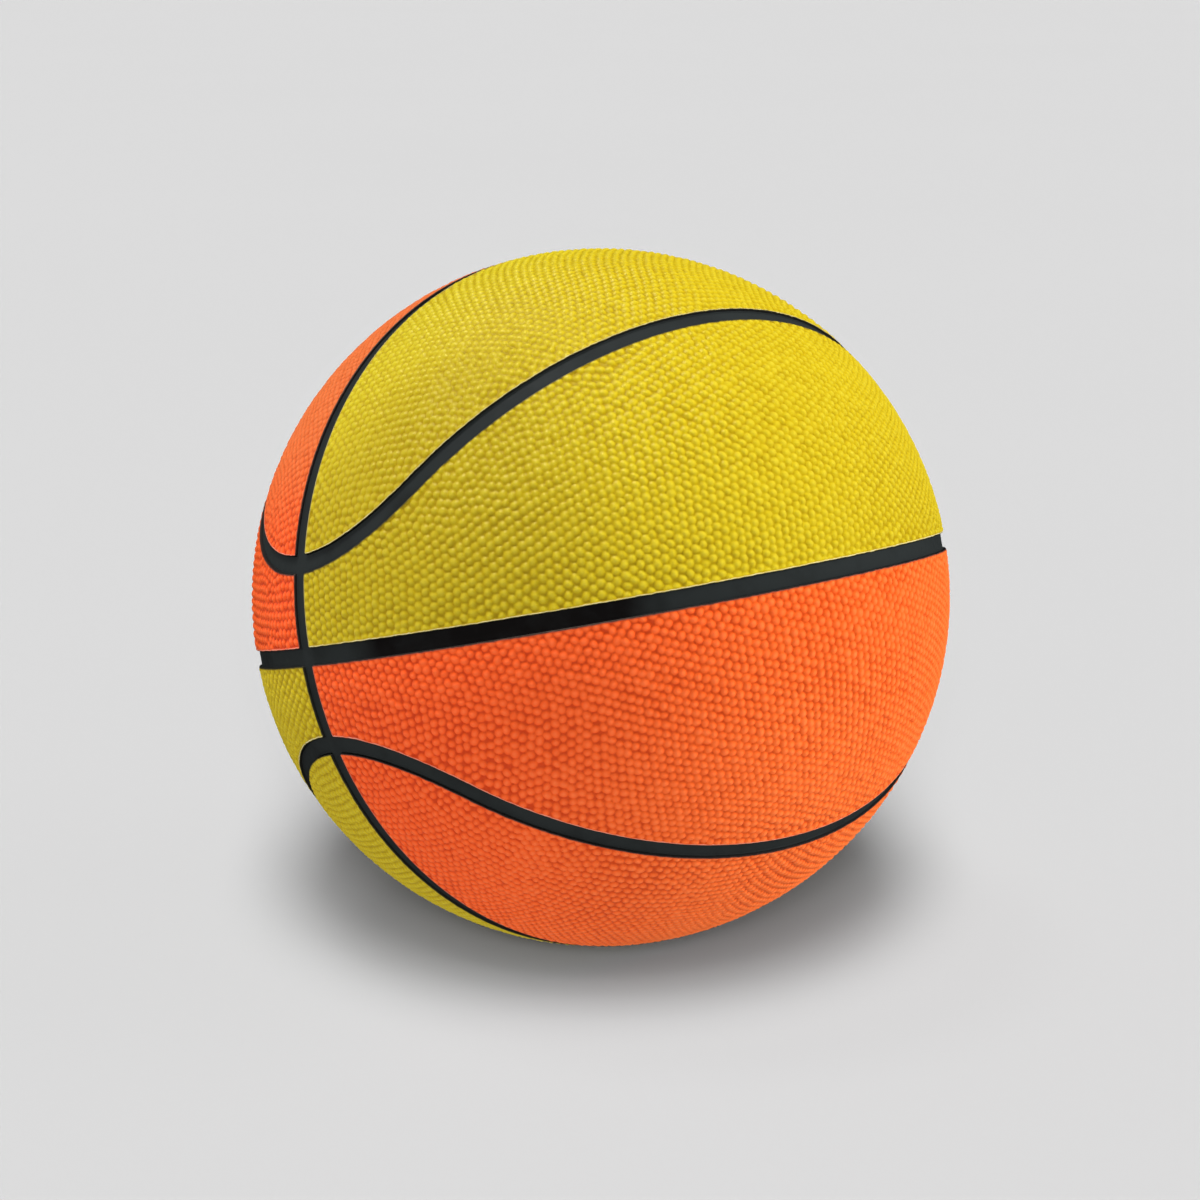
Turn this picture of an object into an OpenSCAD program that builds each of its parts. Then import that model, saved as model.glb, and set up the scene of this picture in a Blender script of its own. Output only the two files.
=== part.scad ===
// Size 7 moulded rubber basketball: eight cover panels in two colours, set into a black
// carcass whose raised ribs form the floors of the channels, over a wound thread layer
// and an air bladder, with a rubber inflation valve at the back.
// Origin at the centre of the ball. +Z is up as the ball rests, -Y is its front,
// +Y is the valve. All sizes are in millimetres.

/* [Ball] */
// Outside diameter over the tops of the pebbles
ball_d = 240; // [237:0.5:248]
// Thickness of the cover panels
panel_t = 1.5; // [1.2:0.1:1.8]
// Thickness of the carcass rubber under the panels
carcass_t = 0.8; // [0.6:0.1:1.2]
// Thickness of the wound thread layer
winding_t = 0.35; // [0.3:0.05:0.6]
// Thickness of the bladder wall
bladder_t = 0.7; // [0.6:0.1:1.2]
// How far the equator channel leans back as the ball rests, in degrees
roll = 16; // [10:1:22]

/* [Channels] */
// Width of every channel between its walls
channel_w = 5.5; // [4.5:0.1:6.3]
// How far the carcass's ribs stand up between the panels, as the floors of the channels
rib_h = 0.2; // [0.1:0.05:0.25]
// Nearest that a loop channel comes to the equator plane, as a share of the ball's radius
loop_near = 0.245; // [0.2:0.005:0.3]
// Radius of the turn that a loop channel makes there, as a share of the ball's radius
loop_turn = 0.57; // [0.5:0.01:0.64]
// Slope of a loop channel's straight stretch against the equator plane, in degrees
loop_slope = 45; // [43:1:47]

/* [Valve] */
// Diameter of the valve's neck, and of the hole for it in every layer
neck_d = 12; // [11.5:0.1:13]
// Diameter of the valve's flange, bonded inside the bladder
flange_d = 36; // [30:1:44]
// Thickness of the valve's flange
flange_t = 1.2; // [1:0.1:1.8]
// Diameter of the reinforcing patch round the neck
patch_d = 30; // [24:1:40]
// Diameter of the valve core's stem
core_d = 6.6; // [6:0.1:7]
// Diameter of the valve core's bulb, which keeps it in its housing
bulb_d = 8.6; // [8:0.1:9]
// Length of the valve core
core_l = 17.3; // [16.5:0.1:18.5]
// Diameter of the needle channel in the core
needle_d = 2.3; // [2:0.05:2.6]
// Depth of the needle channel's straight part
needle_l = 11.8; // [10:0.1:12.5]

/* [Hidden] */

$fn = 128;

yellow = [0.89, 0.80, 0.14];
orange = [0.93, 0.36, 0.14];
channel_black = [0.13, 0.14, 0.15];
thread_white = [0.86, 0.84, 0.78];
butyl_black = [0.09, 0.09, 0.09];
valve_black = [0.16, 0.16, 0.17];

// Radii of the layers, from outside to inside
r_out = ball_d / 2;
r_panel = r_out - panel_t;          // inside of the panels, outside of the carcass
r_floor = r_panel + rib_h;          // top of the carcass's ribs, the channels' floor
r_carcass = r_panel - carcass_t;    // inside of the carcass
r_winding = r_carcass - winding_t;  // inside of the thread layer, outside of the bladder
r_bladder = r_winding - bladder_t;  // inside of the bladder

// The loop channel in the plane across the crossings' axis: an arc, then its tangents
loop_s = loop_near * r_out;
loop_r = loop_turn * r_out;
far = 1.6 * r_out;                  // reaches past the ball from anywhere inside it
arc_step = 3;

// The valve, measured along its axis from the centre of the ball
s_neck = r_out - 0.3;               // top of the neck
s_core = r_out - 0.5;               // top of the core
s_core_end = s_core - core_l;
funnel_l = 1.2;                     // length of the funnel that leads the needle in
funnel_d = needle_d + 1.4;
s_mouth = s_core - funnel_l;        // where the needle channel's straight part begins
bulb_l = 5.8;                       // length of the bulb with its two cones
housing_wall = 1.8;
s_tip = s_core_end - housing_wall;

// Turns a piece drawn with its pole up and its front to +Y into the resting ball's place
module resting() rotate([-roll, 0, 0]) rotate([0, 0, 180]) children();

// A solid ball whose own poles lie in the crossings of the channels
module ball(r) rotate([0, 90, 0]) sphere(r);

module shell(ro, ri) difference() {
    ball(ro);
    ball(ri);
}

// A quarter of space, clear of the equator and meridian channels; flips give the others
module quarter() translate([-far, channel_w / 2, channel_w / 2]) cube([2 * far, far, far]);

module flipped(front, upper) mirror([0, front ? 0 : 1, 0]) mirror([0, 0, upper ? 0 : 1]) children();

// Outline of everything on the pole's side of a loop channel's middle line, moved outward by d
function loop_outline(d) = let (a = loop_r + d, c = loop_s + loop_r,
        ex = a * sin(loop_slope), ey = c - a * cos(loop_slope),
        fx = far * cos(loop_slope), fy = far * sin(loop_slope),
        n = round(2 * loop_slope / arc_step)) concat(
    [[-ex - fx, ey + fy]],
    [for (i = [0 : n]) let (t = -loop_slope + i * 2 * loop_slope / n) [a * sin(t), c - a * cos(t)]],
    [[ex + fx, ey + fy]]);

module pole_side(d, l = 1) rotate([90, 0, 90])
    linear_extrude(2 * far * l, center = true) polygon(loop_outline(d));

// A cover layer between two radii, from the equator channel to the loop channel
module band_layer(ro, ri) difference() {
    intersection() {
        shell(ro, ri);
        quarter();
    }
    pole_side(channel_w / 2, 1.1);
}

// A cover layer between two radii, from the loop channel over the pole
module cap_layer(ro, ri) intersection() {
    shell(ro, ri);
    quarter();
    pole_side(-channel_w / 2, 1.1);
}

// Places a piece of the valve, drawn along +Z from the ball's centre, on its axis
module on_valve() rotate([-90, 0, 0]) children();

module valve_hole(d) on_valve() translate([0, 0, r_out / 2]) cylinder(d = d, h = r_out);

module band_panel(front, upper, tint) color(tint)
    resting() flipped(front, upper) band_layer(r_out, r_panel);

module cap_panel(front, upper, tint) color(tint)
    resting() flipped(front, upper) cap_layer(r_out, r_panel);

module front_upper_band_panel() band_panel(true, true, yellow);

module front_upper_cap_panel() cap_panel(true, true, yellow);

module front_lower_band_panel() band_panel(true, false, orange);

module front_lower_cap_panel() cap_panel(true, false, orange);

// The valve's neck comes out through this panel
module rear_upper_band_panel() difference() {
    band_panel(false, true, orange);
    color(orange) valve_hole(neck_d);
}

module rear_upper_cap_panel() cap_panel(false, true, orange);

module rear_lower_band_panel() band_panel(false, false, yellow);

module rear_lower_cap_panel() cap_panel(false, false, yellow);

// The black shell under the panels, with ribs that stand up between them as the channels' floors
module carcass() color(channel_black) difference() {
    resting() difference() {
        ball(r_floor);
        ball(r_carcass);
        for (front = [true, false]) for (upper = [true, false]) flipped(front, upper) {
            band_layer(r_out + 1, r_panel);
            cap_layer(r_out + 1, r_panel);
        }
    }
    valve_hole(neck_d);
}

// A whole layer under the carcass, its poles on the valve's axis, open round the valve
module inner_layer(ro, ri, hole_d) on_valve() difference() {
    sphere(ro);
    sphere(ri);
    cylinder(d = hole_d, h = 1.2 * r_out);
}

// The wound thread layer, which leaves the patch free
module nylon_winding() color(thread_white) inner_layer(r_carcass, r_winding, patch_d);

module bladder() color(butyl_black) inner_layer(r_winding, r_bladder, neck_d);

// A ring bonded on the bladder round the valve's neck, flush with the thread layer
module bladder_patch() color(butyl_black) on_valve() difference() {
    intersection() {
        sphere(r_carcass);
        cylinder(d = patch_d, h = 1.2 * r_out);
    }
    sphere(r_winding);
    cylinder(d = neck_d, h = 1.2 * r_out);
}

// The core's outline: a stem, then a bulb between two cones
function core_profile(top) = [
    [0, s_core_end], [core_d / 2 - 0.6, s_core_end], [bulb_d / 2, s_core_end + 1.6],
    [bulb_d / 2, s_core_end + bulb_l - 1.4], [core_d / 2, s_core_end + bulb_l],
    [core_d / 2, top], [0, top]];

// Neck, flange and blind body of the housing, bonded to the inside of the bladder
module valve_housing() color(valve_black) difference() {
    union() {
        intersection() {
            on_valve() translate([0, 0, r_bladder - 3]) cylinder(d = neck_d, h = 20);
            on_valve() sphere(s_neck);
        }
        on_valve() difference() {
            intersection() {
                sphere(r_bladder);
                cylinder(d = flange_d, h = r_out);
            }
            sphere(r_bladder - flange_t);
            cylinder(d = neck_d - 2, h = r_out);
        }
        on_valve() rotate_extrude() polygon([
            [0, s_tip], [neck_d / 2 - 2.2, s_tip], [neck_d / 2 - 0.2, s_tip + 2.6],
            [neck_d / 2 - 0.2, r_bladder - 2], [0, r_bladder - 2]]);
    }
    on_valve() rotate_extrude() polygon(core_profile(r_out + 1));
}

// The press-in core with its funnel and blind needle channel, which closes by itself
module valve_core() color(valve_black) difference() {
    on_valve() rotate_extrude() polygon(core_profile(s_core));
    on_valve() translate([0, 0, s_mouth - needle_l]) cylinder(d = needle_d, h = needle_l + 0.5);
    on_valve() translate([0, 0, s_mouth]) cylinder(d1 = needle_d, d2 = funnel_d, h = funnel_l);
    on_valve() translate([0, 0, s_core]) cylinder(d = funnel_d, h = 1);
}

front_upper_band_panel();
front_upper_cap_panel();
front_lower_band_panel();
front_lower_cap_panel();
rear_upper_band_panel();
rear_upper_cap_panel();
rear_lower_band_panel();
rear_lower_cap_panel();
carcass();
nylon_winding();
bladder();
bladder_patch();
valve_housing();
valve_core();
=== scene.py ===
import math

import bmesh
import bpy
import numpy as np
from mathutils import Matrix, Vector
from mathutils.geometry import delaunay_2d_cdt
from mathutils.kdtree import KDTree


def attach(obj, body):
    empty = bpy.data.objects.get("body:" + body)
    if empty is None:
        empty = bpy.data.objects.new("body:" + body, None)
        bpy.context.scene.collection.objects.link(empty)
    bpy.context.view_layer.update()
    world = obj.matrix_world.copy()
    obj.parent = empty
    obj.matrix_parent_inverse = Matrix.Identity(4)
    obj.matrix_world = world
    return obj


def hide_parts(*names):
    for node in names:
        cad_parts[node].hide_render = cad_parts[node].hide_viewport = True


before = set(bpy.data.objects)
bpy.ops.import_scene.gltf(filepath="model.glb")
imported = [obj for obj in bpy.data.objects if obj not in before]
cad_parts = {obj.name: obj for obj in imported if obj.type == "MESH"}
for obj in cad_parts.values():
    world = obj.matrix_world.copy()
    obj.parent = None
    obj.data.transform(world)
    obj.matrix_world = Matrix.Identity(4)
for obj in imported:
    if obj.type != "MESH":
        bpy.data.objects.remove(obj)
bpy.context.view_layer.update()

# ---------------------------------------------------------------- sizes, in millimetres
R = 120.0            # over the tops of the pebbles
R_IN = 118.5         # underside of the panels
R_FLOOR = 118.7      # floor of the channels
R_CARC_IN = 117.7    # inside of the carcass
ROLL = math.radians(16.0)
HALF_W = 2.75        # half the channels' width
S0 = 0.245 * R       # nearest that a loop channel comes to the equator plane
RL = 0.57 * R        # radius of its turn
CL = S0 + RL         # height of that turn's centre
ALPHA = math.radians(45.0)
FILLET = 0.8         # corners of the panels, seen from outside
SHOULDER = 0.42      # rounding of the panels' edges
R_LIP = R - 0.22     # height of the smooth margin
R_VALLEY = R - 0.92  # between the pebbles
PITCH = 3.0          # from pebble to pebble
PEBBLE_R = 1.74      # reach of one pebble
NECK_R = 6.0         # the valve's neck
PAD_R = 9.4          # the smooth pad round the valve
MM = 0.001


# ---------------------------------------------------------------- outlines on the sphere
# Canonical quarter: x along the crossings' axis, y >= 0 and z >= 0. A band lies between the
# equator channel (z = 0) and the loop channel, a cap between the loop and the meridian (y = 0).
def loop_side(y, z):
    """Signed distance from the loop channel's middle line in the y,z plane, positive on the pole's side."""
    t = np.arctan2(np.abs(y), CL - z)
    arc = RL - np.hypot(y, z - CL)
    y1, z1 = RL * math.sin(ALPHA), CL - RL * math.cos(ALPHA)
    line = (z - z1) * math.cos(ALPHA) - (np.abs(y) - y1) * math.sin(ALPHA)
    return np.where(t <= ALPHA, arc, line)


def rounded(*ds):
    """Distance inside an intersection of sides, with its corners rounded by FILLET."""
    d = np.stack(ds)
    out = d.min(0)
    near = np.sqrt((np.maximum(FILLET - d, 0) ** 2).sum(0))
    return np.where(out < FILLET, FILLET - near, out)


def inside(kind, p):
    """How far points on the sphere lie inside a panel's wall, in millimetres."""
    y, z = p[:, 1], p[:, 2]
    d = loop_side(y, z)
    if kind == "band":
        return rounded(z - HALF_W, y - HALF_W, -d - HALF_W)
    return rounded(y - HALF_W, d - HALF_W, z - HALF_W)


def segments(kind, spacing):
    if kind == "band":
        return [("eq", 377), ("eqc+", 1.2), ("mer+", 24), ("mlc+", 1.2), ("arc+", 62), ("line", 226), ("arc-", 62), ("mlc-", 1.2), ("mer-", 24), ("eqc-", 1.2)]
    return [("merc", 322), ("mlc+", 1.2), ("arc+", 58), ("line", 226), ("arc-", 58), ("mlc-", 1.2)]


def ring(kind, s, r, spacing):
    """The closed line s inside a panel's wall, on the sphere of radius r. Equal spacings give matching points for every s below FILLET and every r."""
    h, sg = HALF_W, (1.0 if kind == "band" else -1.0)
    a = RL + sg * (h + s)                       # the loop's turn, moved by the wall's distance
    e = (CL * math.cos(ALPHA) - RL) - sg * (h + s)
    rho = math.sqrt(r * r - e * e)
    t1 = math.asin((h + FILLET) / a)
    out = []
    for name, length in segments(kind, spacing):
        n = max(4, int(round(length / spacing))) if length > 2 else 5
        f = np.arange(n) / n
        side = -1.0 if name.endswith("-") else 1.0
        if side < 0:
            f = 1 - f
        if name == "eq":
            z = np.full(n, h + s)
            q = math.sqrt(r * r - (h + s) ** 2)
            lim = math.acos((h + FILLET) / q)
            ang = -lim + 2 * lim * f
            x, y = q * np.sin(ang), q * np.cos(ang)
        elif name == "merc":
            y = np.full(n, h + s)
            q = math.sqrt(r * r - (h + s) ** 2)
            low = CL - math.sqrt((RL - h - FILLET) ** 2 - (h + s) ** 2)
            lim = math.acos(low / q)
            ang = -lim + 2 * lim * f
            x, z = q * np.sin(ang), q * np.cos(ang)
        elif name in ("eqc+", "eqc-"):
            tau = f * math.pi / 2
            z = h + FILLET - (FILLET - s) * np.cos(tau)
            y = h + FILLET - (FILLET - s) * np.sin(tau)
            x = side * np.sqrt(r * r - y * y - z * z)
        elif name in ("mer+", "mer-"):
            y = np.full(n, h + s)
            q = math.sqrt(r * r - (h + s) ** 2)
            top = CL - math.sqrt((RL + h + FILLET) ** 2 - (h + s) ** 2)
            lo, hi = math.asin((h + FILLET) / q), math.asin(top / q)
            ang = lo + (hi - lo) * f
            x, z = side * q * np.cos(ang), q * np.sin(ang)
        elif name in ("mlc+", "mlc-"):
            tau = f * math.pi / 2
            y = h + FILLET - (FILLET - s) * np.cos(tau)
            dist = RL + sg * (h + FILLET - (FILLET - s) * np.sin(tau))
            z = CL - np.sqrt(dist * dist - y * y)
            x = side * np.sqrt(r * r - y * y - z * z)
        elif name in ("arc+", "arc-"):
            t = t1 + (ALPHA - t1) * f
            y, z = a * np.sin(t), CL - a * np.cos(t)
            x = side * np.sqrt(r * r - y * y - z * z)
        else:
            lim = math.acos(CL * math.sin(ALPHA) / rho)
            b = lim - 2 * lim * f
            x = rho * np.sin(b)
            y = -e * math.sin(ALPHA) + rho * np.cos(b) * math.cos(ALPHA)
            z = e * math.cos(ALPHA) + rho * np.cos(b) * math.sin(ALPHA)
        out.append(np.stack([x, y, z], 1))
    return np.concatenate(out)


def flat(kind, p):
    """Equal-area map of a panel: along its long side, and away from it."""
    x, y, z = (p[:, 0], p[:, 1], p[:, 2]) if kind == "band" else (p[:, 0], p[:, 2], p[:, 1])
    q = np.linalg.norm(p, axis=1)
    th = np.arcsin(z / q)
    return np.stack([R * np.arctan2(x, y) * np.cos(th), R * th], 1)


def unflat(kind, uv):
    th = uv[:, 1] / R
    ph = uv[:, 0] / (R * np.cos(th))
    x, y, z = R * np.cos(th) * np.sin(ph), R * np.cos(th) * np.cos(ph), R * np.sin(th)
    return np.stack([x, y, z] if kind == "band" else [x, z, y], 1)


def lattice(lo, hi, step, turn=0.0):
    """A triangular lattice that covers a rectangle."""
    mid, half = (lo + hi) / 2, np.linalg.norm(hi - lo) / 2 + step
    n, m = int(half / step) + 1, int(half / (step * 0.8660254)) + 1
    i, j = np.meshgrid(np.arange(-n, n + 1), np.arange(-m, m + 1))
    g = np.stack([(i + 0.5 * (j % 2)) * step, j * step * 0.8660254], -1).reshape(-1, 2)
    c, s = math.cos(turn), math.sin(turn)
    g = g @ np.array([[c, s], [-s, c]]) + mid
    return g[((g >= lo) & (g <= hi)).all(1)]


def within(q, poly):
    """Which points lie in a polygon."""
    a, b = poly, np.roll(poly, -1, 0)
    y = q[:, 1:2]
    cross = (a[:, 1] > y) != (b[:, 1] > y)
    rise = np.where(a[:, 1] == b[:, 1], 1e-12, b[:, 1] - a[:, 1])
    x = a[:, 0] + (b[:, 0] - a[:, 0]) * (y - a[:, 1]) / rise
    return (cross & (q[:, 0:1] < x)).sum(1) % 2 == 1


def triangulate(uv, loops):
    """Triangles over uv, inside the first loop of indices and outside the others."""
    verts = [Vector((float(a), float(b))) for a, b in uv]
    rims = [(int(a), int(b)) for lp in loops[1:] for a, b in zip(lp, np.roll(lp, -1))]
    res = delaunay_2d_cdt(verts, rims, [list(map(int, loops[0]))], 1, 1e-7, True)
    back = np.array([o[0] if o else -1 for o in res[3]])
    tri = back[np.array([f for f in res[2] if len(f) == 3])]
    assert (tri >= 0).all()
    keep = np.ones(len(tri), bool)
    for i, lp in enumerate(loops):
        on = np.zeros(len(uv), bool)
        on[lp] = True
        look = np.nonzero(on[tri].all(1))[0]
        inner = within(uv[tri[look]].mean(1), uv[lp])
        keep[look] = inner if i == 0 else ~inner
    return tri[keep]


def smooth(a, b, x):
    t = np.clip((x - a) / (b - a), 0, 1)
    return t * t * (3 - 2 * t)


# ---------------------------------------------------------------- where each panel lies
PLACES = {
    "front_upper": (1, 1), "front_lower": (1, -1), "rear_upper": (-1, 1), "rear_lower": (-1, -1),
}


def to_world(place):
    """Matrix from the canonical quarter to the resting ball."""
    sy, sz = PLACES[place]
    flip = np.diag([1.0, sy, sz])
    half_turn = np.diag([-1.0, -1.0, 1.0])
    c, s = math.cos(ROLL), math.sin(ROLL)
    lean = np.array([[1, 0, 0], [0, c, s], [0, -s, c]])
    return lean @ half_turn @ flip


VALVE_LOCAL = np.linalg.inv(to_world("rear_upper")) @ np.array([0, R, 0])


def from_valve(p):
    """Distance of points from the valve's axis, in the canonical quarter of the rear upper panels."""
    a = VALVE_LOCAL / R
    along = p @ a
    d = np.linalg.norm(p - along[:, None] * a, axis=1)
    return np.where(along > 0, d, 1e3)


def valve_ring(d, r, n):
    """A circle of radius d about the valve's axis on the sphere of radius r, in the canonical quarter."""
    a = VALVE_LOCAL / R
    e1 = np.cross(a, [1.0, 0, 0]); e1 /= np.linalg.norm(e1)
    e2 = np.cross(a, e1)
    t = 2 * math.pi * np.arange(n) / n
    return math.sqrt(r * r - d * d) * a + d * (np.cos(t)[:, None] * e1 + np.sin(t)[:, None] * e2)


# ---------------------------------------------------------------- pebbles
def pebbles(kind, seed, valve):
    """Centres of the pebbles of one panel on the sphere, in rows that wander, with their sizes."""
    rng = np.random.default_rng(seed)
    outline = flat(kind, ring(kind, 0.0, R, 2.0))
    lo, hi = outline.min(0) - 1, outline.max(0) + 1
    uv = lattice(lo - 8, hi + 8, PITCH * 0.985, turn=rng.uniform(-0.5, 0.5))
    for _ in range(4):
        k = rng.normal(size=2); k *= 2 * math.pi / rng.uniform(45, 120) / np.linalg.norm(k)
        ph = rng.uniform(0, 6.28)
        d = rng.normal(size=2); d /= np.linalg.norm(d)
        uv = uv + d * np.sin(uv @ k + ph)[:, None] * rng.uniform(0.05, 0.13) / np.linalg.norm(k)
    uv = uv + rng.normal(size=uv.shape) * PITCH * 0.08
    uv = uv[(np.abs(uv[:, 1] / R) < 1.35)]
    p = unflat(kind, uv)
    keep = (inside(kind, p) > 0.8) & (p[:, 1] > 0) & (p[:, 2] > 0) & (np.abs(uv[:, 0] / (R * np.cos(uv[:, 1] / R))) < math.pi / 2)
    if valve:
        keep &= from_valve(p) > PAD_R + 0.7
    p = p[keep]
    for step in range(28):
        kd = KDTree(len(p))
        for i, q in enumerate(p):
            kd.insert(q, i)
        kd.balance()
        nb = np.array([[j for _, j, _ in kd.find_n(q, 8)][1:] for q in p])
        d = p[:, None] - p[nb]
        n = np.linalg.norm(d, axis=2) + 1e-6
        push = (d / n[..., None] * np.maximum(1.12 * PITCH - n, 0)[..., None]).sum(1) * 0.2
        g = inside(kind, p)
        grad = np.stack([inside(kind, p + np.eye(3)[i] * 0.05) - g for i in range(3)], 1)
        grad /= np.linalg.norm(grad, axis=1)[:, None] + 1e-9
        push += grad * np.maximum(1.2 - g, 0)[:, None] * 0.6
        if valve:
            a = VALVE_LOCAL / R
            away = p - (p @ a)[:, None] * a
            away /= np.linalg.norm(away, axis=1)[:, None] + 1e-9
            push += away * np.maximum(PAD_R + 1.3 - from_valve(p), 0)[:, None] * 0.6
        p = p + push
        p *= R / np.linalg.norm(p, axis=1)[:, None]
    p += rng.normal(size=p.shape) * 0.10
    p *= R / np.linalg.norm(p, axis=1)[:, None]
    size = np.clip(rng.normal(1.0, 0.055, len(p)), 0.84, 1.15)
    high = np.clip(rng.normal(0.93, 0.07, len(p)), 0.70, 1.0)
    turn = rng.uniform(0, math.pi, len(p))
    return p, size, high, turn


def wander(p, seed, reach, short, long):
    """Moves points about smoothly, so that shapes drawn through it lose their exactness."""
    rng = np.random.default_rng(seed)
    out = np.zeros_like(p)
    for _ in range(7):
        k = rng.normal(size=3); k *= 2 * math.pi / rng.uniform(short, long) / np.linalg.norm(k)
        out += rng.normal(size=3) * np.sin(p @ k + rng.uniform(0, 6.28))[:, None]
    return p + out * reach / 7 ** 0.5


def mound(d):
    """Height of one pebble at a share of its reach: a dome that is steepest at its foot."""
    return np.maximum(1 - d * d, 0) ** 1.15


def relief(kind, p, cen, size, high, turn):
    """Sum of the pebbles' domes at points of the panel, 0 in the valleys and 1 on the tops."""
    cell = 2.7
    uv, cuv = flat(kind, p), flat(kind, cen)
    lo = np.minimum(uv.min(0), cuv.min(0)) - 2 * cell
    shape = np.ceil((np.maximum(uv.max(0), cuv.max(0)) - lo) / cell).astype(int) + 3
    ci = ((cuv - lo) / cell).astype(int)
    key = ci[:, 0] * shape[1] + ci[:, 1]
    order = np.argsort(key, kind="stable")
    table = np.full((shape[0] * shape[1], 4), -1)
    slot = np.zeros(shape[0] * shape[1], int)
    for i in order:
        k = key[i]
        if slot[k] < 4:
            table[k, slot[k]] = i
            slot[k] += 1
    vi = ((uv - lo) / cell).astype(int)
    out = np.zeros(len(p))
    for dx in (-1, 0, 1):
        for dy in (-1, 0, 1):
            cand = table[(vi[:, 0] + dx) * shape[1] + vi[:, 1] + dy]
            for c in cand.T:
                ok = np.nonzero(c >= 0)[0]
                j = c[ok]
                across = uv[ok] - cuv[j]
                oval = 1 + 0.07 * np.cos(2 * (np.arctan2(across[:, 1], across[:, 0]) - turn[j]))
                d = np.linalg.norm(p[ok] - cen[j], axis=1) * oval / (PEBBLE_R * size[j])
                f = mound(d) * high[j]
                out[ok] += f ** 3.5
    return np.minimum(out ** (1 / 3.5), 1.0)


# ---------------------------------------------------------------- mesh helpers
def make_mesh(name, co, tri, uv=None, attrs=None, smooth_faces=True):
    """A mesh object from arrays in millimetres, with its faces shaded smooth where flagged."""
    me = bpy.data.meshes.new(name)
    me.vertices.add(len(co))
    me.vertices.foreach_set("co", (np.asarray(co) * MM).astype(np.float32).ravel())
    me.loops.add(len(tri) * 3)
    me.loops.foreach_set("vertex_index", np.asarray(tri, np.int32).ravel())
    me.polygons.add(len(tri))
    me.polygons.foreach_set("loop_start", np.arange(0, len(tri) * 3, 3, dtype=np.int32))
    me.polygons.foreach_set("use_smooth", np.full(len(tri), smooth_faces))
    if uv is not None:
        layer = me.uv_layers.new(name="OFBake")
        layer.uv.foreach_set("vector", np.asarray(uv, np.float32).ravel())
    for key, values in (attrs or {}).items():
        at = me.attributes.new(key, "FLOAT", "POINT")
        at.data.foreach_set("value", np.asarray(values, np.float32))
    me.update()
    me.validate()
    ob = bpy.data.objects.new(name, me)
    bpy.context.scene.collection.objects.link(ob)
    return ob


def tidy(ob, weld=0.0):
    """Turns every face of a closed mesh outward, after welding points that coincide."""
    bm = bmesh.new()
    bm.from_mesh(ob.data)
    if weld:
        bmesh.ops.remove_doubles(bm, verts=bm.verts, dist=weld * MM)
    bmesh.ops.recalc_face_normals(bm, faces=bm.faces)
    loose = sum(1 for e in bm.edges if not e.is_manifold)
    if loose:
        print(ob.name, "has", loose, "open edges")
    bm.to_mesh(ob.data)
    bm.free()
    return ob


SPACING = 0.56
STEP = 0.53
SHOULDER_ANGLES = [0.0, 22.5, 45.0, 67.5, 90.0]


def shoulder_rings():
    """(distance inside the wall, radius) of the rings over a rounded edge, then one on the margin."""
    out = [(SHOULDER * (1 - math.cos(math.radians(t))), R_LIP - SHOULDER * (1 - math.sin(math.radians(t)))) for t in SHOULDER_ANGLES]
    return out + [(0.60, R_LIP)]


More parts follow.
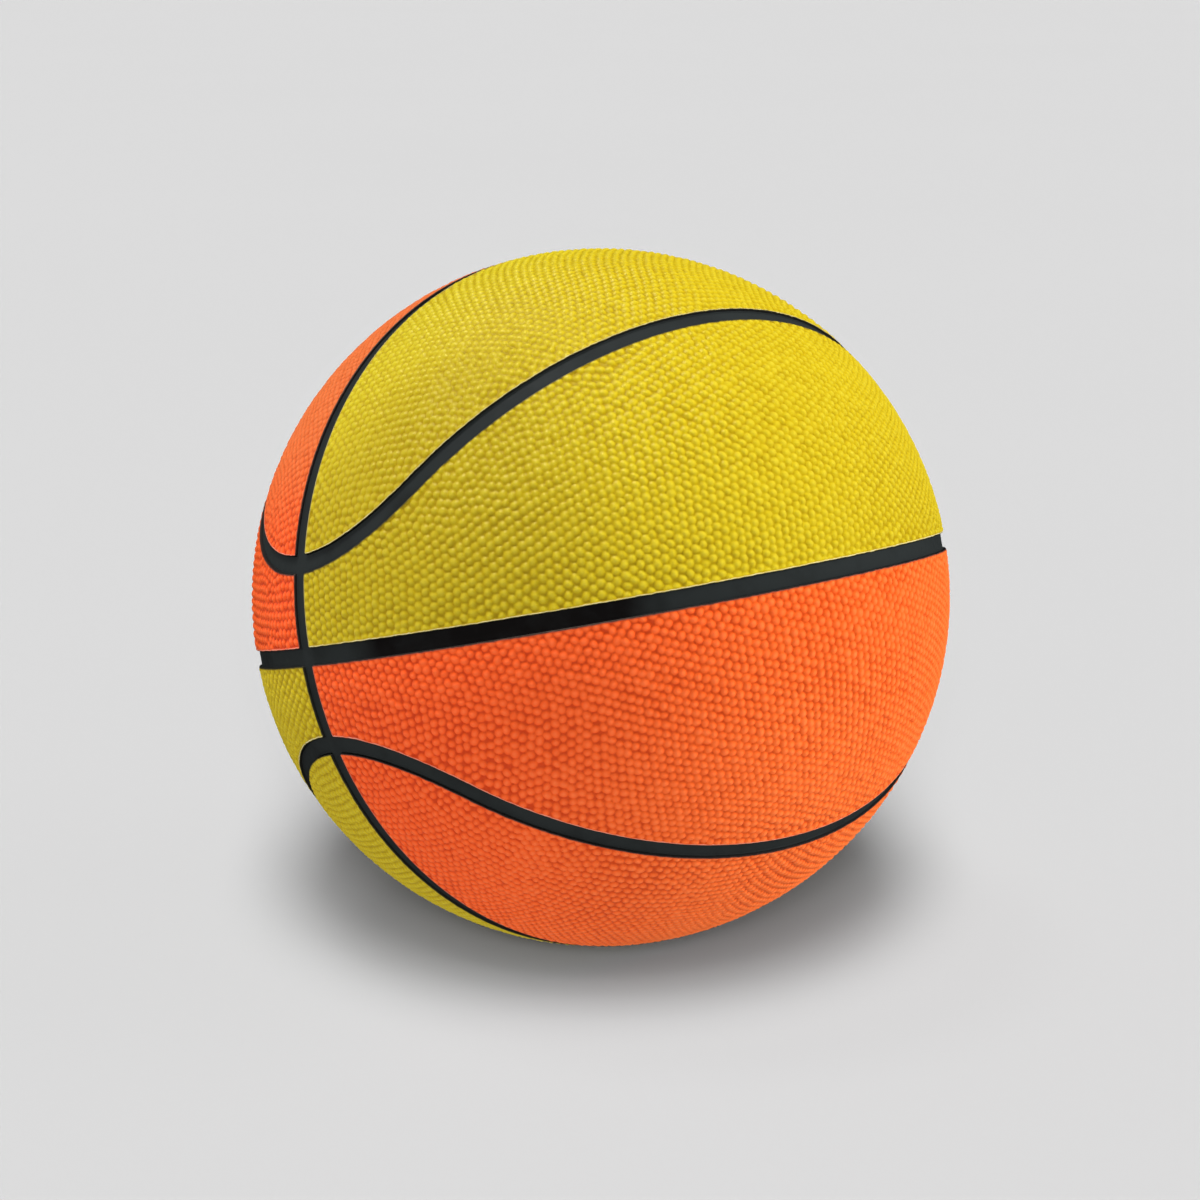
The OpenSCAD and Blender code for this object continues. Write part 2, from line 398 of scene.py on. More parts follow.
def panel_base(kind, valve):
    """Points and triangles of a panel before its pebbles are raised."""
    rings = shoulder_rings()
    n = len(ring(kind, 0.0, R, SPACING))
    co = [ring(kind, s, r, SPACING) for s, r in rings]
    s_of = [np.full(n, s) for s, _ in rings]
    holes, nv = [], 72
    if valve:
        holes = [(NECK_R + s, r) for s, r in rings]
    top_uv = flat(kind, ring(kind, rings[-1][0], R, SPACING))
    lo, hi = top_uv.min(0), top_uv.max(0)
    g = lattice(lo, hi, STEP)
    p = unflat(kind, g)
    ok = (inside(kind, p) > rings[-1][0] + 0.3 * STEP) & (p[:, 1] > 0) & (p[:, 2] > 0)
    if valve:
        ok &= from_valve(p) > NECK_R + rings[-1][0] + 0.3 * STEP
    g, p = g[ok], p[ok]
    # 2-D triangulation of the inner field
    field = [top_uv, g]
    loops = [np.arange(n)]
    if valve:
        hv = flat(kind, valve_ring(holes[-1][0], R, nv))
        field.append(hv)
        loops.append(np.arange(nv) + n + len(g))
    tri_top = triangulate(np.concatenate(field), loops)
    # one list of points: rings, field, then the valve's rings
    base = (len(rings) - 1) * n
    pts = [np.concatenate(co[:-1]), ring(kind, rings[-1][0], R, SPACING), p]
    fixed_r = [np.concatenate([np.full(n, r) for _, r in rings[:-1]]), np.full(n, R_LIP), np.full(len(p), np.nan)]
    edge = [np.concatenate(s_of[:-1]), np.full(n, rings[-1][0]), np.full(len(p), np.nan)]
    tris = [tri_top + base]
    for k in range(len(rings) - 1):
        a = np.arange(n) + k * n
        b = np.roll(np.arange(n), -1) + k * n
        tris.append(np.stack([a, b, b + n], 1))
        tris.append(np.stack([a, b + n, a + n], 1))
    count = base + n + len(p)
    if valve:
        # the field's last ring of the valve sits at index count; narrower ones follow
        vr = [valve_ring(d, r if i < len(holes) - 1 else R, nv) for i, (d, r) in enumerate(holes)]
        order = [len(holes) - 1] + list(range(len(holes) - 1))
        for i in order:
            pts.append(vr[i]); fixed_r.append(np.full(nv, holes[i][1])); edge.append(np.full(nv, holes[i][0] - NECK_R))
        def at(i):
            return count + order.index(i) * nv
        for k in range(len(holes) - 1):
            a = np.arange(nv) + at(k); b = np.roll(np.arange(nv), -1) + at(k)
            c = np.arange(nv) + at(k + 1); d = np.roll(np.arange(nv), -1) + at(k + 1)
            tris.append(np.stack([a, d, b], 1)); tris.append(np.stack([a, c, d], 1))
    pts, fixed_r, edge = np.concatenate(pts), np.concatenate(fixed_r), np.concatenate(edge)
    tris = np.concatenate(tris)
    top_n = len(pts)
    # the wall's foot and the underside
    foot = ring(kind, 0.0, R_IN, SPACING)
    f0 = top_n
    a = np.arange(n); b = np.roll(a, -1)
    wall = np.concatenate([np.stack([a + f0, b + f0, b], 1), np.stack([a + f0, b, a], 1)])
    under_uv = [flat(kind, foot), ]
    g2 = lattice(lo, hi, 6.0)
    p2 = unflat(kind, g2)
    ok = (inside(kind, p2) > 2.0) & (p2[:, 1] > 0) & (p2[:, 2] > 0)
    if valve:
        ok &= from_valve(p2) > NECK_R + 2.0
    g2, p2 = g2[ok], p2[ok] * (R_IN / R)
    under_uv.append(g2)
    loops = [np.arange(n)]
    extra = [foot, p2]
    if valve:
        vf = valve_ring(NECK_R, R_IN, nv)
        under_uv.append(flat(kind, vf)); extra.append(vf)
        loops.append(np.arange(nv) + n + len(g2))
    tri_under = triangulate(np.concatenate(under_uv), loops)[:, ::-1] + f0
    walls = [wall]
    if valve:
        a = np.arange(nv) + at(0); b = np.roll(np.arange(nv), -1) + at(0)
        c = np.arange(nv) + f0 + n + len(g2); d = np.roll(np.arange(nv), -1) + f0 + n + len(g2)
        walls.append(np.stack([a, b, d], 1)); walls.append(np.stack([a, d, c], 1))
    wall = np.concatenate(walls)
    return dict(pts=pts, fixed_r=fixed_r, edge=edge, tris=tris, under=np.concatenate(extra), wall=wall, tri_under=tri_under, n=n, top_n=top_n)


_bases = {}


def build_panel(place, kind, seed):
    valve = place == "rear_upper" and kind == "band"
    key = (kind, valve)
    if key not in _bases:
        _bases[key] = panel_base(kind, valve)
    b = _bases[key]
    p = b["pts"].copy()
    unit = p / np.linalg.norm(p, axis=1)[:, None]
    on = unit * R
    s = np.where(np.isnan(b["edge"]), inside(kind, on), b["edge"])
    gap = s.copy()
    if valve:
        gap = np.minimum(gap, np.where(np.isnan(b["edge"]), from_valve(on) - PAD_R + 0.75, gap))
    cen, size, high, turn = pebbles(kind, seed, valve)
    dome = relief(kind, wander(on, seed + 3, 0.11, 3.5, 7.0), cen, size, high, turn) * smooth(0.42, 0.85, gap)
    ground = R_VALLEY + (R_LIP - R_VALLEY) * (1 - smooth(0.45, 1.0, gap))
    rad = ground + (R - ground) * dome
    free = np.isnan(b["fixed_r"]) | (b["edge"] > 0.5)
    co = np.where(free[:, None], unit * rad[:, None], p)
    # how far each edge looks down, as the ball rests: 0 on an edge that looks up, 1 on one that looks down
    near = np.nonzero(s < 1.6)[0]
    g0 = inside(kind, on[near])
    grad = np.stack([inside(kind, on[near] + np.eye(3)[i] * 0.05) - g0 for i in range(3)], 1)
    grad -= (grad * unit[near]).sum(1)[:, None] * unit[near]
    grad /= np.linalg.norm(grad, axis=1)[:, None] + 1e-9
    brink = np.full(len(s), 0.5)
    brink[near] = 0.5 + 0.5 * (grad @ to_world(place).T)[:, 2]
    all_co = np.concatenate([co, b["under"]])
    tri = np.concatenate([b["tris"], b["wall"], b["tri_under"]])
    m = to_world(place)
    world = all_co @ m.T
    # turn every face outward: the top's first face tells
    t = b["tris"][0]
    nrm = np.cross(world[t[1]] - world[t[0]], world[t[2]] - world[t[0]])
    if nrm @ world[t[0]] < 0:
        tri = tri[:, ::-1]
    # flat layout for baking: the top below, the walls and the underside above it
    uv_top = flat(kind, all_co)
    lo, hi = uv_top.min(0), uv_top.max(0)
    q = (uv_top - lo) / (hi - lo)
    uv_a = np.stack([0.01 + 0.98 * q[:, 0], 0.01 + 0.80 * q[:, 1]], 1)
    uv_c = np.stack([0.01 + 0.98 * q[:, 0], 0.87 + 0.12 * q[:, 1]], 1)
    rad_all = np.linalg.norm(all_co, axis=1)
    uv_b = np.stack([0.01 + 0.98 * q[:, 0], 0.825 + 0.035 * np.clip((rad_all - R_IN) / (R_LIP - R_IN), 0, 1)], 1)
    nt, nw = len(b["tris"]), len(b["wall"])
    uv = np.concatenate([uv_a[tri[:nt]], uv_b[tri[nt:nt + nw]], uv_c[tri[nt + nw:]]]).reshape(-1, 2)
    pad = np.zeros(len(b["under"]))
    tone = np.where(free, dome, 0.35)
    if valve:
        # the smooth pad round the valve has the panel's own colour
        r = from_valve(on)
        tone = np.where(r < PAD_R + 0.1, np.maximum(tone, 0.42), tone)
        s = np.where(r < PAD_R + 2.0, 9.0, s)
    attrs = {
        "relief": np.concatenate([tone, pad]),
        "edge": np.concatenate([s, pad]),
        "brink": np.concatenate([brink, pad]),
        "lift": rad_all - R_IN,
    }
    return tidy(make_mesh(f"{place}_{kind}_cover", world, tri, uv, attrs))


# ---------------------------------------------------------------- carcass
def dial(p):
    """Equal-area map of the whole canonical quarter, seen from its middle."""
    q = p / np.linalg.norm(p, axis=1)[:, None]
    a, b_, c = q[:, 0], (q[:, 2] - q[:, 1]) / 2 ** 0.5, (q[:, 1] + q[:, 2]) / 2 ** 0.5
    k = R * np.sqrt(2 / (1 + c))
    return np.stack([k * a, k * b_], 1)


def undial(uv):
    u, v = uv[:, 0] / R, uv[:, 1] / R
    r2 = u * u + v * v
    k = np.sqrt(np.maximum(1 - r2 / 4, 0))
    a, b_, c = u * k, v * k, 1 - r2 / 2
    return R * np.stack([a, (c - b_) / 2 ** 0.5, (c + b_) / 2 ** 0.5], 1)


def floor_radius(g):
    """Height of the channel's floor at a distance from the panels: a shallow dish with a fillet up to each wall."""
    t = np.clip(1 - g / 0.5, 0, 1)
    return R_FLOOR - 0.03 + 0.40 * (1 - np.sqrt(1 - t * t)) - 0.05 * np.clip(g / HALF_W, 0, 1) ** 2


def outward(p, tri, sign=1.0):
    """Turns triangles of a surface round the centre so that they face away from it, or towards it."""
    a, b_, c = p[tri[:, 0]], p[tri[:, 1]], p[tri[:, 2]]
    flip = (np.cross(b_ - a, c - a) * (a + b_ + c)).sum(1) * sign < 0
    tri = tri.copy()
    tri[flip] = tri[flip][:, ::-1]
    return tri


def quarter_rim(spacing):
    """The quarter's own border on the sphere: half of the equator, then half of the meridian."""
    n = int(math.pi * R / spacing)
    a = np.arange(n) * math.pi / n
    eq = np.stack([R * np.cos(a), R * np.sin(a), 0 * a], 1)
    a = math.pi - a
    me = np.stack([R * np.cos(a), 0 * a, R * np.sin(a)], 1)
    return np.concatenate([eq, me])


def build_carcass():
    gap, under_r = 0.02, R_IN - 0.04
    rim = quarter_rim(0.75)
    walls = {k: ring(k, -gap, R, 0.7) for k in ("band", "cap")}
    field = [rim]
    loops = [np.arange(len(rim))]
    count = len(rim)
    for k in ("band", "cap"):
        field.append(walls[k])
        loops.append(np.arange(len(walls[k])) + count)
        count += len(walls[k])
    for g in (0.09, 0.20, 0.34, 0.52):
        for k in ("band", "cap"):
            field.append(ring(k, -g, R, 0.7))
    g = undial(lattice(np.array([-1.42 * R, -0.78 * R]), np.array([1.42 * R, 0.78 * R]), 0.60))
    g = g[(g[:, 1] > 0.25) & (g[:, 2] > 0.25)]
    away = -np.maximum(inside("band", g), inside("cap", g))
    field.append(g[away > 0.75])
    top = np.concatenate(field)
    away = -np.maximum(inside("band", top), inside("cap", top))
    away[:len(rim)] = HALF_W
    tri = triangulate(dial(top), loops)
    top = top / R * floor_radius(np.maximum(away, gap))[:, None]

    points, tris, uvs, lift = [], [], [], []
    total = 0

    def add(p, t, cell, sign, m):
        nonlocal total
        w = p @ m.T
        uv = dial(p)
        cx, cy = cell % 3, cell // 3
        q = np.stack([(cx + 0.5 + 0.47 * uv[:, 0] / (1.42 * R)) / 3, (cy + 0.5 + 0.47 * uv[:, 1] / (0.80 * R)) / 5], 1)
        t = outward(w, t, sign)
        points.append(w); tris.append(t + total); uvs.append(q[t].reshape(-1, 2))
        lift.append(np.linalg.norm(p, axis=1) - R_IN)
        total += len(p)

    for i, place in enumerate(PLACES):
        m = to_world(place)
        add(top, tri, i, 1.0, m)
        for j, k in enumerate(("band", "cap")):
            # the step down beside each panel, and the bed under it
            w = walls[k]
            n = len(w)
            pair = np.concatenate([w / R * floor_radius(np.array([gap])), w / R * under_r])
            a = np.arange(n); b_ = np.roll(a, -1)
            strip = np.concatenate([np.stack([a, b_, b_ + n], 1), np.stack([a, b_ + n, a + n], 1)])
            wp = pair @ m.T
            c = wp.mean(0)
            t0 = strip[0]
            nrm = np.cross(wp[t0[1]] - wp[t0[0]], wp[t0[2]] - wp[t0[0]])
            if nrm @ (c - wp[t0[0]]) < 0:
                strip = strip[:, ::-1]
            points.append(wp); tris.append(strip + total)
            q = dial(pair)
            q = np.stack([(2 + 0.5 + 0.47 * q[:, 0] / (1.42 * R)) / 3, (4 + 0.04 + 0.9 * (i * 2 + j + np.repeat([0.3, 0.7], n)) / 8) / 5], 1)
            uvs.append(q[strip].reshape(-1, 2))
            lift.append(np.linalg.norm(pair, axis=1) - R_IN)
            total += 2 * n
            bed = [w]
            lps = [np.arange(n)]
            g2 = undial(lattice(np.array([-1.42 * R, -0.78 * R]), np.array([1.42 * R, 0.78 * R]), 6.0))
            ok = (g2[:, 1] > 0.5) & (g2[:, 2] > 0.5)
            g2 = g2[ok]
            hole = place == "rear_upper" and k == "band"
            ok = inside(k, g2) > 2.5
            if hole:
                ok &= from_valve(g2) > NECK_R + 2
            g2 = g2[ok]
            bed.append(g2)
            if hole:
                lps.append(np.arange(48) + n + len(g2))
                bed.append(valve_ring(NECK_R, R, 48))
            bed = np.concatenate(bed)
            t = triangulate(dial(bed), lps)
            bed = bed / np.linalg.norm(bed, axis=1)[:, None] * under_r
            if hole:
                bed[-48:] = valve_ring(NECK_R, under_r, 48)
            add(bed, t, 4 + i * 2 + j, 1.0, m)
        # inside
        rim_in = quarter_rim(6.0)
        g3 = undial(lattice(np.array([-1.42 * R, -0.78 * R]), np.array([1.42 * R, 0.78 * R]), 6.0))
        g3 = g3[(g3[:, 1] > 2.0) & (g3[:, 2] > 2.0)]
        lps = [np.arange(len(rim_in))]
        inn = [rim_in, g3]
        if place == "rear_upper":
            g3 = g3[from_valve(g3) > NECK_R + 2]
            inn = [rim_in, g3, valve_ring(NECK_R, R, 48)]
            lps.append(np.arange(48) + len(rim_in) + len(g3))
        inn = np.concatenate(inn)
        t = triangulate(dial(inn), lps)
        inn = inn / np.linalg.norm(inn, axis=1)[:, None] * R_CARC_IN
        if place == "rear_upper":
            inn[-48:] = valve_ring(NECK_R, R_CARC_IN, 48)
        add(inn, t, 12 + (i if i < 2 else 2 - i % 2 * 2), -1.0, m)
    # the wall of the hole for the valve
    m = to_world("rear_upper")
    pair = np.concatenate([valve_ring(NECK_R, under_r, 48), valve_ring(NECK_R, R_CARC_IN, 48)]) @ m.T
    a = np.arange(48); b_ = np.roll(a, -1)
    strip = np.concatenate([np.stack([a, b_, b_ + 48], 1), np.stack([a, b_ + 48, a + 48], 1)])
    nrm = np.cross(pair[1] - pair[0], pair[49] - pair[0])
    if nrm @ (np.array([0, pair[0, 1], 0]) - pair[0]) < 0:
        strip = strip[:, ::-1]
    points.append(pair); tris.append(strip + total)
    uvs.append(np.full((len(strip) * 3, 2), 0.999) - np.random.default_rng(1).uniform(0, 0.001, (len(strip) * 3, 2)))
    lift.append(np.zeros(96))
    ob = make_mesh("carcass_shell", np.concatenate(points), np.concatenate(tris), np.concatenate(uvs), {"lift": np.concatenate(lift)})
    return tidy(ob, 0.001)


# ---------------------------------------------------------------- materials
def nodes_of(name):
    m = bpy.data.materials.new(name)
    m.use_nodes = True
    nt = m.node_tree
    return m, nt, nt.nodes["Principled BSDF"]


def link(nt, a, b):
    nt.links.new(a, b)


def attribute(nt, name):
    n = nt.nodes.new("ShaderNodeAttribute")
    n.attribute_name = name
    return n.outputs["Fac"]


def noise(nt, scale, detail=3.0, rough=0.5):
    tc = nt.nodes.new("ShaderNodeTexCoord")
    n = nt.nodes.new("ShaderNodeTexNoise")
    n.inputs["Scale"].default_value = scale
    n.inputs["Detail"].default_value = detail
    n.inputs["Roughness"].default_value = rough
    link(nt, tc.outputs["Object"], n.inputs["Vector"])
    return n.outputs["Fac"]


def ramp(nt, fac, stops, interp="EASE"):
    n = nt.nodes.new("ShaderNodeValToRGB")
    n.color_ramp.interpolation = interp
    el = n.color_ramp.elements
    while len(el) < len(stops):
        el.new(0.5)
    for e, (pos, col) in zip(el, stops):
        e.position = pos
        e.color = (*col, 1.0) if len(col) == 3 else col
    link(nt, fac, n.inputs["Fac"])
    return n.outputs["Color"]


def mix(nt, fac, a, b, kind="MIX"):
    n = nt.nodes.new("ShaderNodeMix")
    n.data_type = "RGBA"
    n.blend_type = kind
    for sock, val in ((n.inputs["Factor"], fac), (n.inputs["A"], a), (n.inputs["B"], b)):
        if isinstance(val, (int, float)):
            sock.default_value = val
        elif isinstance(val, tuple):
            sock.default_value = (*val, 1.0)
        else:
            link(nt, val, sock)
    return n.outputs["Result"]


def remap(nt, x, a, b, c, d):
    n = nt.nodes.new("ShaderNodeMapRange")
    n.inputs["From Min"].default_value = a
    n.inputs["From Max"].default_value = b
    n.inputs["To Min"].default_value = c
    n.inputs["To Max"].default_value = d
    link(nt, x, n.inputs["Value"])
    return n.outputs["Result"]


def maths(nt, kind, a, b):
    n = nt.nodes.new("ShaderNodeMath")
    n.operation = kind
    for sock, val in ((n.inputs[0], a), (n.inputs[1], b)):
        if isinstance(val, (int, float)):
            sock.default_value = val
        else:
            link(nt, val, sock)
    return n.outputs[0]


def bump(nt, bsdf, height, strength, distance):
    n = nt.nodes.new("ShaderNodeBump")
    n.inputs["Strength"].default_value = strength
    n.inputs["Distance"].default_value = distance
    link(nt, height, n.inputs["Height"])
    link(nt, n.outputs["Normal"], bsdf.inputs["Normal"])


def cover_rubber(name, low, mid, top, painted_lip_highlight, painted_edge_shade, shine, painted_light_sides):
    """Moulded cover rubber, with painted shade between the pebbles, a painted highlight on their tops, and painted
    light and shade that make some sides of the ball lighter or darker. The channels' black paint runs up its edges and
    ends sharply; a pale line along the edges that look down is a painted highlight, and a brown tone and a wider fade
    of black along the edges that look up are painted shade."""
    m, nt, b = nodes_of(name)
    rel = attribute(nt, "relief")
    edge = attribute(nt, "edge")
    down = remap(nt, attribute(nt, "brink"), 0.25, 0.80, 0.0, 1.0)
    # painted shade between the pebbles and a painted highlight on their tops, drawn from the relief
    col = ramp(nt, rel, [(0.10, low), (0.50, mid), (0.95, top)], "LINEAR")
    # painted light and shade: some sides of the ball get lighter or darker copies of the pebble tones
    tc = nt.nodes.new("ShaderNodeTexCoord")
    for way, start, end, painted_side_tones in painted_light_sides:
        dot = nt.nodes.new("ShaderNodeVectorMath")
        dot.operation = "DOT_PRODUCT"
        link(nt, tc.outputs["Object"], dot.inputs[0])
        dot.inputs[1].default_value = way
        side = ramp(nt, remap(nt, dot.outputs["Value"], start, end, 0.0, 1.0), [(0.0, (0.0,) * 3), (1.0, (1.0,) * 3)], "EASE")
        col = mix(nt, side, col, ramp(nt, rel, list(zip((0.10, 0.50, 0.95), painted_side_tones)), "LINEAR"))
    broad = noise(nt, 22.0, 2.0)
    col = mix(nt, remap(nt, broad, 0.35, 0.65, 0.0, 0.06), col, tuple(0.85 * c for c in mid))
    fine = noise(nt, 900.0, 2.0)
    col = mix(nt, remap(nt, fine, 0.3, 0.7, 0.0, 0.10), col, tuple(min(1.0, 1.12 * c + 0.01) for c in top))
    # the lines along the edge wander a little
    sway = maths(nt, "ADD", edge, remap(nt, noise(nt, 380.0, 3.0, 0.6), 0.3, 0.7, -0.13, 0.13))
    line = ramp(nt, sway, [(0.22, (0.0,) * 3), (0.34, (1.0,) * 3), (0.44, (1.0,) * 3), (0.60, (0.0,) * 3)], "LINEAR")
    patchy = remap(nt, noise(nt, 300.0, 3.0, 0.6), 0.35, 0.6, 0.35, 0.85)
    # painted highlight: a pale line along the edges that look down, as the ball rests
    col = mix(nt, maths(nt, "MULTIPLY", maths(nt, "MULTIPLY", line, down), patchy), col, painted_lip_highlight)
    # the channels' black paint ends sharply on every edge; painted shade: where the edge looks up, a brown tone and a
    # wider fade of black
    sharp = ramp(nt, sway, [(0.14, (1.0,) * 3), (0.30, (0.0,) * 3)], "EASE")
    soft = ramp(nt, sway, [(0.25, (1.0,) * 3), (0.90, (0.0,) * 3)], "EASE")
    col = mix(nt, maths(nt, "MULTIPLY", soft, maths(nt, "SUBTRACT", 1.0, down)), col, painted_edge_shade)
    soft2 = ramp(nt, sway, [(0.15, (1.0,) * 3), (0.62, (0.0,) * 3)], "EASE")
    up = maths(nt, "MULTIPLY", soft2, maths(nt, "SUBTRACT", 1.0, down))
    col = mix(nt, maths(nt, "MAXIMUM", up, sharp), col, BLACK)
    link(nt, col, b.inputs["Base Color"])
    rough = remap(nt, rel, 0.0, 1.0, 0.50, 0.36)
    link(nt, rough, b.inputs["Roughness"])
    b.inputs["Specular IOR Level"].default_value = 0.34
    b.inputs["Specular Tint"].default_value = (*shine, 1.0)
    bump(nt, b, noise(nt, 2600.0, 3.0, 0.6), 0.22, 0.00008)
    return m


BLACK = (0.016, 0.016, 0.016)
PAINTED_NO_SHEEN_SPOT = (-0.095, -0.068, 0.019)   # middle of the stretch of channel left near-black, where the rest has a painted grey reflection


def channel_rubber(name):
    """Smooth black rubber with a soft shine. Its grey is a painted reflection: near-black round one spot of the
    channel, greyer away from it, in random patches.
    """
    m, nt, b = nodes_of(name)
    tc = nt.nodes.new("ShaderNodeTexCoord")
    far = nt.nodes.new("ShaderNodeVectorMath")
    far.operation = "DISTANCE"
    link(nt, tc.outputs["Object"], far.inputs[0])
    far.inputs[1].default_value = PAINTED_NO_SHEEN_SPOT
    # painted reflection: grey with distance from the spot, near-black close to it, with random patches
    painted_reflection = maths(nt, "ADD", remap(nt, far.outputs["Value"], 0.040, 0.055, 0.0, 1.0), remap(nt, noise(nt, 70.0, 4.0, 0.6), 0.3, 0.7, -0.25, 0.25))
    col = ramp(nt, painted_reflection, [(0.0, (0.006, 0.005, 0.005)), (1.0, (0.023, 0.027, 0.027))], "LINEAR")
    link(nt, col, b.inputs["Base Color"])
    link(nt, remap(nt, noise(nt, 240.0, 3.0), 0.3, 0.7, 0.55, 0.70), b.inputs["Roughness"])
    b.inputs["Specular IOR Level"].default_value = 0.06
    bump(nt, b, noise(nt, 1500.0, 2.0), 0.15, 0.00006)
    return m


def matte_rubber(name, col, scale=300.0):
    m, nt, b = nodes_of(name)
    c = mix(nt, remap(nt, noise(nt, scale, 3.0), 0.3, 0.7, 0.0, 0.5), col, tuple(1.7 * x for x in col))
    link(nt, c, b.inputs["Base Color"])
    link(nt, remap(nt, noise(nt, scale * 0.5, 2.0), 0.3, 0.7, 0.5, 0.7), b.inputs["Roughness"])
    b.inputs["Specular IOR Level"].default_value = 0.4
    bump(nt, b, noise(nt, 1800.0, 2.0), 0.2, 0.00006)
    return m


def thread(name):
    """Wound thread: fine bands that cross in several directions, bedded in latex."""
    m, nt, b = nodes_of(name)
    tc = nt.nodes.new("ShaderNodeTexCoord")
    waves = []
    for rot in ((0.3, 0.2, 0.0), (1.1, -0.4, 0.9), (-0.7, 1.3, 0.4)):
        mp = nt.nodes.new("ShaderNodeMapping")
        mp.inputs["Rotation"].default_value = rot
        link(nt, tc.outputs["Object"], mp.inputs["Vector"])
        w = nt.nodes.new("ShaderNodeTexWave")
        w.inputs["Scale"].default_value = 180.0
        w.inputs["Distortion"].default_value = 1.2
        w.inputs["Detail"].default_value = 2.0
        link(nt, mp.outputs["Vector"], w.inputs["Vector"])
        waves.append(w.outputs["Fac"])
    h = nt.nodes.new("ShaderNodeMath"); h.operation = "MAXIMUM"
    link(nt, waves[0], h.inputs[0]); link(nt, waves[1], h.inputs[1])
    h2 = nt.nodes.new("ShaderNodeMath"); h2.operation = "MAXIMUM"
    link(nt, h.outputs[0], h2.inputs[0]); link(nt, waves[2], h2.inputs[1])
    col = mix(nt, h2.outputs[0], (0.30, 0.27, 0.20), (0.72, 0.69, 0.60))
    link(nt, col, b.inputs["Base Color"])
    link(nt, remap(nt, h2.outputs[0], 0.0, 1.0, 0.9, 0.65), b.inputs["Roughness"])
    bump(nt, b, h2.outputs[0], 0.6, 0.0003)
    return m


# per colour: pebble tones from valley to top (painted shade to painted highlight), the painted highlight line, the
# painted edge shade, the shine's tint, then the painted light and shade on some sides of the ball, as a direction, its
# start and end, and the lighter or darker tones
yellow = cover_rubber("cover_yellow", (0.43, 0.283, 0.001), (0.55, 0.402, 0.005), (0.63, 0.500, 0.024), (0.80, 0.75, 0.46), (0.10, 0.085, 0.030),
                      (1.0, 0.92, 0.35), (((-0.862, -0.308, 0.405), 0.098, 0.118, ((0.37, 0.242, 0.001), (0.475, 0.345, 0.004), (0.55, 0.435, 0.024))),
                                           ((-0.379, 0.651, 0.650), 0.070, 0.101, ((0.47, 0.327, 0.001), (0.60, 0.468, 0.005), (0.69, 0.578, 0.024)))))
orange = cover_rubber("cover_orange", (0.64, 0.042, 0.003), (0.94, 0.096, 0.010), (1.0, 0.148, 0.036), (0.90, 0.42, 0.30), (0.24, 0.085, 0.060),
                      (1.0, 0.60, 0.40), (((0.70, -0.55, -0.45), -0.05, 0.12, ((0.64, 0.072, 0.004), (0.90, 0.150, 0.018), (0.98, 0.215, 0.048))),
                                          ((-0.272, 0.950, -0.155), 0.045, 0.080, ((0.53, 0.039, 0.002), (0.76, 0.081, 0.004), (0.85, 0.128, 0.022))),
                                          ((-0.50, 0.31, 0.81), 0.084, 0.114, ((0.52, 0.078, 0.010), (0.75, 0.154, 0.030), (0.84, 0.208, 0.060)))))
black = channel_rubber("channel_black")

# ---------------------------------------------------------------- panels
seed = 11
for place in PLACES:
    for kind in ("band", "cap"):
        ob = build_panel(place, kind, seed)
        seed += 7
        up = place in ("front_upper", "rear_lower")
        ob.data.materials.append(yellow if up else orange)
        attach(ob, "root")
        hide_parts(f"{place}_{kind}_panel")

shell = build_carcass()
shell.data.materials.append(black)
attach(shell, "root")
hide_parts("carcass")

# ---------------------------------------------------------------- the pieces inside, and the valve
for n, m in (("nylon_winding", thread("winding_thread")), ("bladder", matte_rubber("bladder_black", (0.012, 0.012, 0.013))),
             ("bladder_patch", matte_rubber("patch_black", (0.016, 0.016, 0.016))), ("valve_housing", matte_rubber("valve_black", (0.020, 0.020, 0.022))),
             ("valve_core", matte_rubber("core_black", (0.030, 0.030, 0.032)))):
    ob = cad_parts[n]
    ob.data.materials.clear()
    ob.data.materials.append(m)

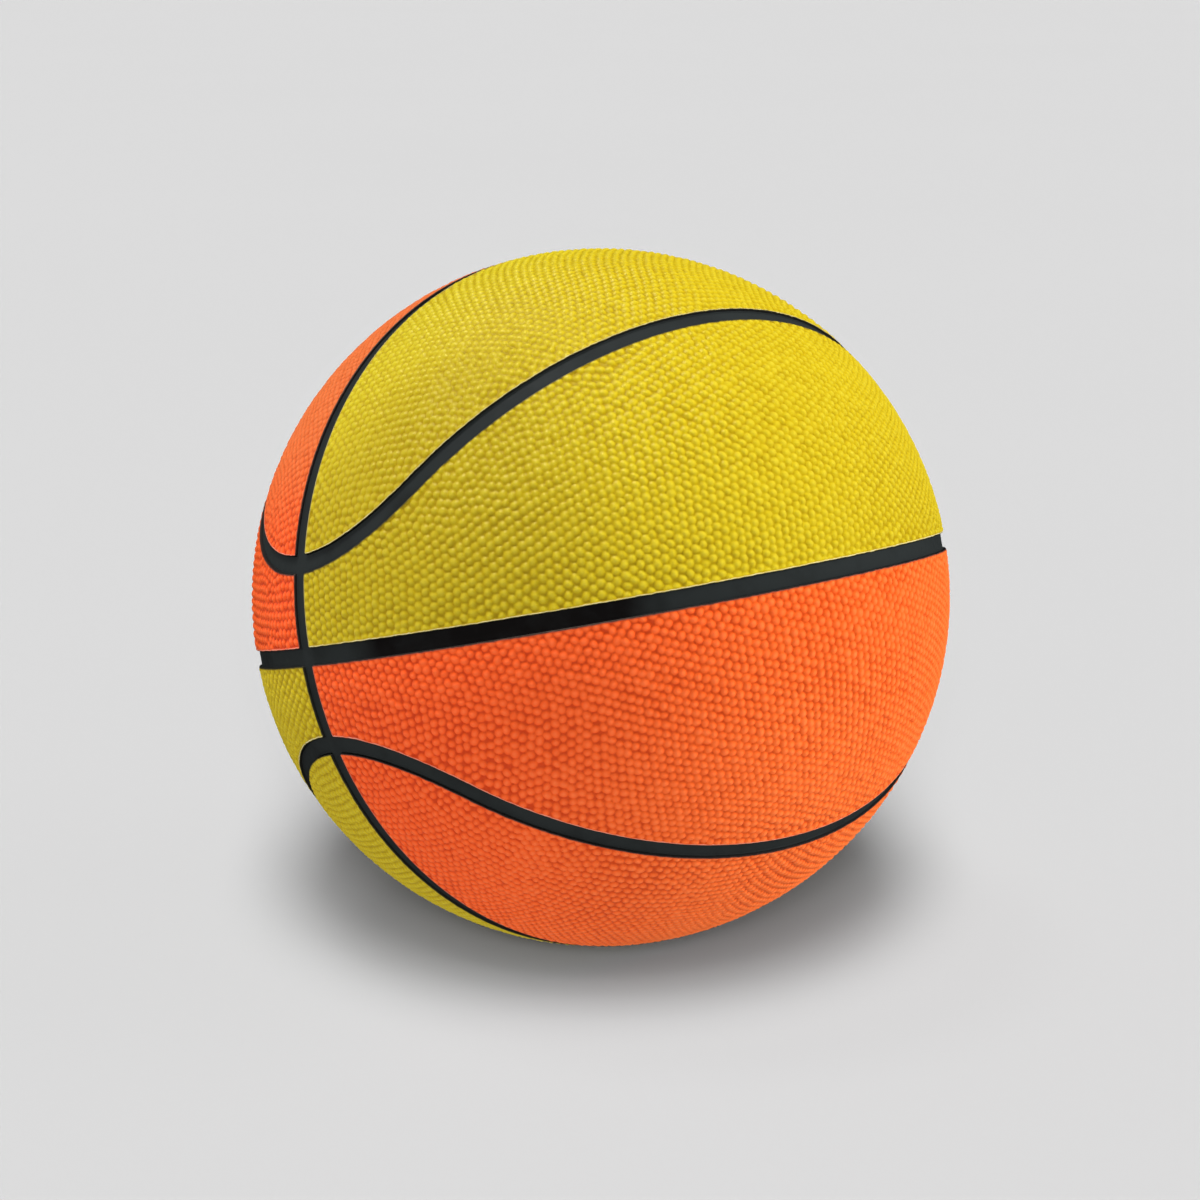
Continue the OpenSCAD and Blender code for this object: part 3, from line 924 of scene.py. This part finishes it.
# ---------------------------------------------------------------- floor, light, camera
def stage():
    bpy.ops.mesh.primitive_plane_add(size=28.0, location=(0, 0, -0.12))
    floor = bpy.context.object
    floor.name = "studio_floor"
    m, nt, b = nodes_of("studio_floor")
    col = mix(nt, remap(nt, noise(nt, 1.5, 2.0), 0.3, 0.7, 0.0, 1.0), (0.0299, 0.0299, 0.0299), (0.0301, 0.0301, 0.0301))
    link(nt, col, b.inputs["Base Color"])
    b.inputs["Roughness"].default_value = 1.0
    b.inputs["Specular IOR Level"].default_value = 0.0
    floor.data.materials.append(m)

    bm = bmesh.new()
    bmesh.ops.create_icosphere(bm, subdivisions=5, radius=13.5)
    me = bpy.data.meshes.new("studio_backdrop")
    bm.to_mesh(me)
    bm.free()
    drop = bpy.data.objects.new("studio_backdrop", me)
    bpy.context.scene.collection.objects.link(drop)
    m, nt, b = nodes_of("studio_backdrop")
    b.inputs["Base Color"].default_value = (0, 0, 0, 1)
    b.inputs["Specular IOR Level"].default_value = 0.0
    col = mix(nt, remap(nt, noise(nt, 0.2, 2.0), 0.3, 0.7, 0.0, 1.0), (0.705, 0.705, 0.705), (0.711, 0.711, 0.711))
    link(nt, col, b.inputs["Emission Color"])
    b.inputs["Emission Strength"].default_value = 1.0
    drop.data.materials.append(m)

    # floor and backdrop are seen, but the light on the ball comes from the lamps and the sky alone
    for o in (floor, drop):
        o.visible_diffuse = False
        o.visible_glossy = False
    drop.visible_transmission = drop.visible_shadow = False

    world = bpy.data.worlds.new("studio")
    bpy.context.scene.world = world
    world.use_nodes = True
    nt = world.node_tree
    tc = nt.nodes.new("ShaderNodeTexCoord")
    sep = nt.nodes.new("ShaderNodeSeparateXYZ")
    link(nt, tc.outputs["Generated"], sep.inputs[0])
    up = remap(nt, sep.outputs["Z"], -1.0, 1.0, 0.0, 1.0)
    sky = ramp(nt, up, [(0.0, (0.86,) * 3), (0.40, (0.78,) * 3), (0.56, (0.22,) * 3), (1.0, (0.20,) * 3)], "EASE")
    link(nt, sky, nt.nodes["Background"].inputs["Color"])
    nt.nodes["Background"].inputs["Strength"].default_value = 1.0
    world.cycles_visibility.glossy = False

    def sun(name, az, el, level, angle):
        """A soft light from a direction; level is what a white surface that faces it gives back."""
        d = bpy.data.lights.new(name, "SUN")
        d.energy = level * math.pi
        d.angle = math.radians(angle)
        o = bpy.data.objects.new(name, d)
        a, e = math.radians(az), math.radians(el)
        to_light = Vector((math.sin(a) * math.cos(e), -math.cos(a) * math.cos(e), math.sin(e)))
        o.rotation_euler = to_light.to_track_quat("Z", "Y").to_euler()
        bpy.context.scene.collection.objects.link(o)
        return o

    sun("overhead", -140, 74, 0.78, 14)
    # the sides only fill: the one shine on the pebbles comes from overhead
    for name, az, el, level, angle in (("right", 54, 20, 1.10, 30), ("left_back", -150, 22, 0.33, 60), ("front", -50, 0, 0.49, 60)):
        sun(name, az, el, level, angle).visible_glossy = False
    # lights for the floor alone, in which the ball still casts its shadow
    only = bpy.data.collections.new("studio_floor_light")
    only.objects.link(floor)
    for el, level, angle in ((22, 14.6, 20), (42, 4.9, 18), (54, 5.9, 20), (64, 5.7, 20), (74, 3.8, 20)):
        sun("floor_%d" % el, -38, el, level, angle).light_linking.receiver_collection = only

    cam = bpy.data.cameras.new("camera")
    cam.sensor_width = 36.0
    cam.lens = 77.7
    co = bpy.data.objects.new("camera", cam)
    az, el, dist = math.radians(-38.1), math.radians(15.0), 0.8976
    to_cam = Vector((math.sin(az) * math.cos(el), -math.cos(az) * math.cos(el), math.sin(el)))
    co.location = to_cam * dist
    co.rotation_euler = to_cam.to_track_quat("Z", "Y").to_euler()
    # the ball stands a little above the middle of the frame
    cam.shift_x, cam.shift_y = -0.8 / 1200, -2.8 / 1200
    bpy.context.scene.collection.objects.link(co)
    bpy.context.scene.camera = co
    bpy.context.scene.view_settings.view_transform = "Standard"


stage()
